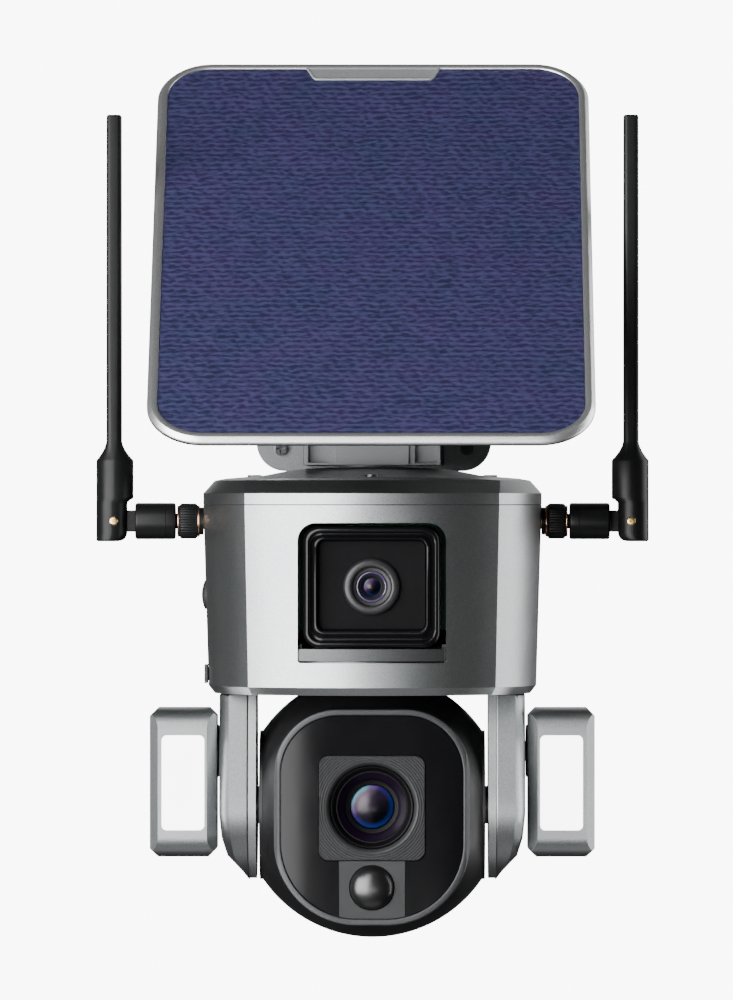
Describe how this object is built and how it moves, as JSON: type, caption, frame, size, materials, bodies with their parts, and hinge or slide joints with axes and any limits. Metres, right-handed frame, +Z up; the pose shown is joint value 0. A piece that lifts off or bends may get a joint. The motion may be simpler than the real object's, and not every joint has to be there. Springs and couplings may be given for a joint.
{
  "type": "solar-powered security camera",
  "caption": "Wall-hung outdoor camera with a tilting solar panel on top, a drum body with a fixed lens, a pan-and-tilt ball head between yoke arms, side floodlights and folding antennas.",
  "frame": {"origin": "centre of the four wall-screw holes, on the wall face of the wall plate", "axes": "+Z up, +Y into the wall, the camera looks along -Y"},
  "size_m": [0.2154, 0.1987, 0.3437],
  "materials": {
    "mount_grey": "fine-textured powder coat",
    "screw_steel": "turned",
    "drum_grey": "fine-grained satin",
    "seal_rubber": "matt",
    "inner_plastic": "matt",
    "battery_wrap": "shrink wrap",
    "circuit_board": "solder resist",
    "motor_steel": "drawn can",
    "black_plastic": "satin",
    "gloss_black": "polished",
    "lens_glass": "coated",
    "gold_brass": "gold-plated",
    "panel_frame": "anodised",
    "solar_cells": "textured laminate",
    "tab_grey": "satin",
    "yoke_grey": "fine-grained satin",
    "liner_grey": "fine-grained satin",
    "gear_nylon": "moulded",
    "gear_brass": "cut",
    "ball_black": "polished",
    "ring_grey": "satin",
    "bezel_grey": "satin",
    "lamp_grey": "fine-grained satin",
    "diffuser_white": "frosted",
    "antenna_black": "satin"
  },
  "bodies": {
    "mount": {"wall_plate": "mount_grey", "bracket": "mount_grey", "plate_screws": "screw_steel", "drum_cap": "drum_grey", "cap_gasket": "seal_rubber", "drum_shell": "drum_grey", "drum_floor": "inner_plastic", "cap_screws": "screw_steel", "battery_cells": "battery_wrap", "battery_tray": "inner_plastic", "main_board": "circuit_board", "speaker": "inner_plastic", "pan_motor": "motor_steel", "window_sill": "drum_grey", "lens_housing": "black_plastic", "lens_panel": "gloss_black", "fixed_lens_barrel": "black_plastic", "fixed_lens": "lens_glass", "fixed_sensor": "circuit_board", "sma_jacks": "gold_brass", "antenna_nuts": "black_plastic"},
    "button": {"power_button": "seal_rubber"},
    "port_flap": {"port_cover": "seal_rubber"},
    "panel": {"solar_frame": "panel_frame", "solar_laminate": "solar_cells", "solar_tab": "tab_grey", "solar_back": "black_plastic", "solar_hinge": "mount_grey", "solar_screws": "screw_steel", "hinge_bolt": "screw_steel"},
    "pan_drive": {"pan_pinion": "gear_brass"},
    "yoke": {"yoke_disc": "yoke_grey", "pan_gear": "gear_nylon", "yoke_arm_left": "yoke_grey", "yoke_arm_right": "yoke_grey", "arm_liner_left": "liner_grey", "arm_liner_right": "liner_grey", "arm_screws": "screw_steel", "tilt_gear": "gear_nylon"},
    "head": {"head_front": "ball_black", "head_rear": "ball_black", "face_ring": "ring_grey", "face_glass": "gloss_black", "lens_bezel": "bezel_grey", "zoom_barrel": "black_plastic", "zoom_lens": "lens_glass", "pir_panel": "bezel_grey", "pir_dome": "gloss_black", "head_board": "circuit_board", "tilt_motor": "motor_steel"},
    "tilt_drive": {"tilt_pinion": "gear_brass"},
    "lamp_left": {"lamp_body_left": "lamp_grey", "lamp_lens_left": "diffuser_white"},
    "lamp_right": {"lamp_body_right": "lamp_grey", "lamp_lens_right": "diffuser_white"},
    "antenna_base_l": {"antenna_base_left": "antenna_black"},
    "antenna_blade_l": {"antenna_blade_left": "antenna_black"},
    "antenna_base_r": {"antenna_base_right": "antenna_black"},
    "antenna_blade_r": {"antenna_blade_right": "antenna_black"}
  },
  "joints": [
    {"name": "pan", "type": "hinge", "parent": "mount", "child": "yoke", "pos_m": [0, -0.097, -0.126], "axis": [0, 0, 1], "range_deg": [-177.5, 177.5]},
    {"name": "pan_drive_spin", "type": "hinge", "parent": "mount", "child": "pan_drive", "pos_m": [-0.0243, -0.097, -0.117], "axis": [0, 0, 1], "range_deg": [-533, 533]},
    {"name": "head_tilt", "type": "hinge", "parent": "yoke", "child": "head", "pos_m": [0, -0.097, -0.1844], "axis": [1, 0, 0], "range_deg": [-15, 90]},
    {"name": "tilt_drive_spin", "type": "hinge", "parent": "head", "child": "tilt_drive", "pos_m": [-0.036, -0.08265, -0.17005], "axis": [1, 0, 0], "range_deg": [-35.2, 210.2]},
    {"name": "panel_tilt", "type": "hinge", "parent": "mount", "child": "panel", "pos_m": [0, -0.103, 0.0175], "axis": [1, 0, 0], "range_deg": [-20, 20]},
    {"name": "lamp_left_tilt", "type": "hinge", "parent": "yoke", "child": "lamp_left", "pos_m": [-0.0605, -0.097, -0.1634], "axis": [1, 0, 0], "range_deg": [-25, 35]},
    {"name": "lamp_right_tilt", "type": "hinge", "parent": "yoke", "child": "lamp_right", "pos_m": [0.0605, -0.097, -0.1634], "axis": [1, 0, 0], "range_deg": [-25, 35]},
    {"name": "antenna_left_swivel", "type": "hinge", "parent": "mount", "child": "antenna_base_l", "pos_m": [-0.0775, -0.097, -0.0738], "axis": [1, 0, 0], "range_deg": [-30, 180]},
    {"name": "antenna_left_fold", "type": "hinge", "parent": "antenna_base_l", "child": "antenna_blade_l", "pos_m": [-0.1007, -0.097, -0.0738], "axis": [0, -1, 0], "range_deg": [0, 90]},
    {"name": "antenna_right_swivel", "type": "hinge", "parent": "mount", "child": "antenna_base_r", "pos_m": [0.0775, -0.097, -0.0738], "axis": [1, 0, 0], "range_deg": [-30, 180]},
    {"name": "antenna_right_fold", "type": "hinge", "parent": "antenna_base_r", "child": "antenna_blade_r", "pos_m": [0.1007, -0.097, -0.0738], "axis": [0, 1, 0], "range_deg": [0, 90]},
    {"name": "power_button_press", "type": "slide", "parent": "mount", "child": "button", "axis": [1, 0, 0], "range_m": [0, 0.0012], "stiffness_N_per_m": 900, "springref_m": -0.0006},
    {"name": "port_cover_open", "type": "hinge", "parent": "mount", "child": "port_flap", "pos_m": [-0.06481, -0.0895, -0.1333], "axis": [0, 0, -1], "range_deg": [0, 100]}
  ],
  "couplings": [
    {"joint": "pan_drive_spin", "follows": "pan", "ratio": -3},
    {"joint": "tilt_drive_spin", "follows": "head_tilt", "ratio": 2.3333}
  ]
}
